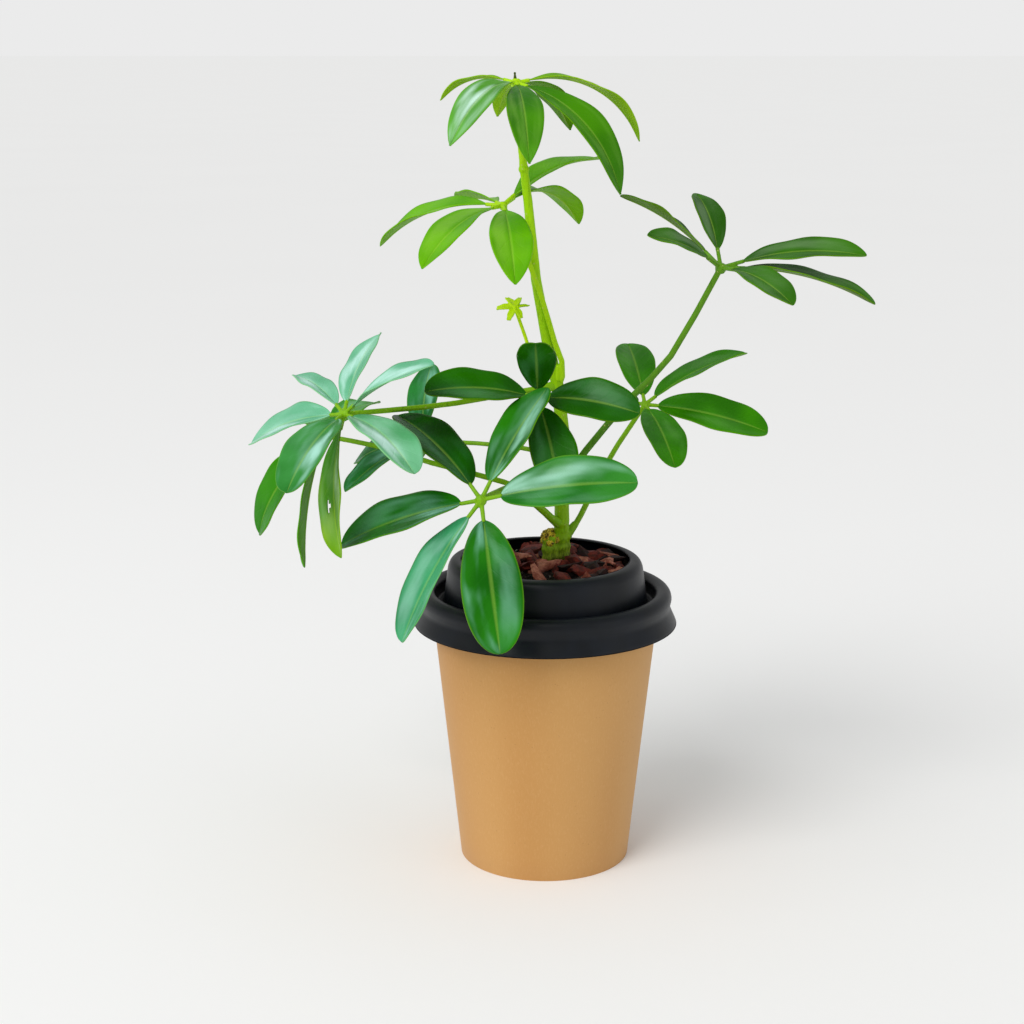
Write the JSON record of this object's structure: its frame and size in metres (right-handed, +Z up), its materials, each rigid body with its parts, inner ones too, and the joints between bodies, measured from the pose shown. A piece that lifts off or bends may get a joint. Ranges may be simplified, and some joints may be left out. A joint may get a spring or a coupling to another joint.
{
  "type": "potted umbrella plant",
  "caption": "Young umbrella plant with glossy palmate leaves on long stalks, growing in bark mix in a kraft paper takeaway cup under a black lid with its centre cut out.",
  "frame": {"origin": "centre of the cup's foot circle, on the plane that the cup stands on", "axes": "+Z up along the cup's axis; +Y away from the side first seen, with the two nearest hanging leaflets on the -Y side; +X towards the long right-hand leaf"},
  "size_m": [0.2033, 0.1245, 0.2626],
  "materials": {
    "kraft_paper": "matt brown kraft paper board",
    "black_plastic": "thin black satin thermoformed plastic",
    "bark_mix": "loose dark red-brown bark chips and granules",
    "green_stem": "smooth green stem, woody at its foot",
    "mature_leaf": "glossy dark green waxy leaf",
    "young_leaf": "glossy lime-green young leaf"
  },
  "bodies": {
    "root": {"cup_wall": "kraft_paper", "cup_base": "kraft_paper", "lid": "black_plastic", "potting_mix": "bark_mix", "main_stem": "green_stem", "crown_leaf_stalk": "green_stem", "crown_leaf_leaflet_1": "young_leaf", "crown_leaf_leaflet_2": "young_leaf", "crown_leaf_leaflet_3": "young_leaf", "crown_leaf_leaflet_4": "young_leaf", "crown_leaf_leaflet_5": "young_leaf", "crown_leaf_leaflet_6": "young_leaf", "crown_leaf_leaflet_7": "young_leaf", "upper_leaf_stalk": "green_stem", "upper_leaf_leaflet_1": "young_leaf", "upper_leaf_leaflet_2": "young_leaf", "upper_leaf_leaflet_3": "young_leaf", "upper_leaf_leaflet_4": "young_leaf", "upper_leaf_leaflet_5": "young_leaf", "upper_leaf_leaflet_6": "young_leaf", "right_leaf_stalk": "green_stem", "right_leaf_leaflet_1": "mature_leaf", "right_leaf_leaflet_2": "mature_leaf", "right_leaf_leaflet_3": "mature_leaf", "right_leaf_leaflet_4": "mature_leaf", "right_leaf_leaflet_5": "mature_leaf", "right_leaf_leaflet_6": "mature_leaf", "middle_leaf_stalk": "green_stem", "middle_leaf_leaflet_1": "mature_leaf", "middle_leaf_leaflet_2": "mature_leaf", "middle_leaf_leaflet_3": "mature_leaf", "middle_leaf_leaflet_4": "mature_leaf", "middle_leaf_leaflet_5": "mature_leaf", "centre_leaf_stalk": "green_stem", "centre_leaf_leaflet_1": "mature_leaf", "centre_leaf_leaflet_2": "mature_leaf", "centre_leaf_leaflet_3": "mature_leaf", "centre_leaf_leaflet_4": "mature_leaf", "front_leaf_stalk": "green_stem", "front_leaf_leaflet_1": "mature_leaf", "front_leaf_leaflet_2": "mature_leaf", "front_leaf_leaflet_3": "mature_leaf", "front_leaf_leaflet_4": "mature_leaf", "front_leaf_leaflet_5": "mature_leaf", "front_leaf_leaflet_6": "mature_leaf", "left_leaf_stalk": "green_stem", "left_leaf_leaflet_1": "mature_leaf", "left_leaf_leaflet_2": "mature_leaf", "left_leaf_leaflet_3": "mature_leaf", "left_leaf_leaflet_4": "mature_leaf", "left_leaf_leaflet_5": "mature_leaf", "left_leaf_leaflet_6": "mature_leaf", "left_leaf_leaflet_7": "mature_leaf", "rear_leaf_stalk": "green_stem", "rear_leaf_leaflet_1": "mature_leaf", "rear_leaf_leaflet_2": "mature_leaf", "rear_leaf_leaflet_3": "mature_leaf", "rear_leaf_leaflet_4": "mature_leaf", "inner_leaf": "mature_leaf", "young_leaf": "young_leaf"}
  },
  "joints": []
}
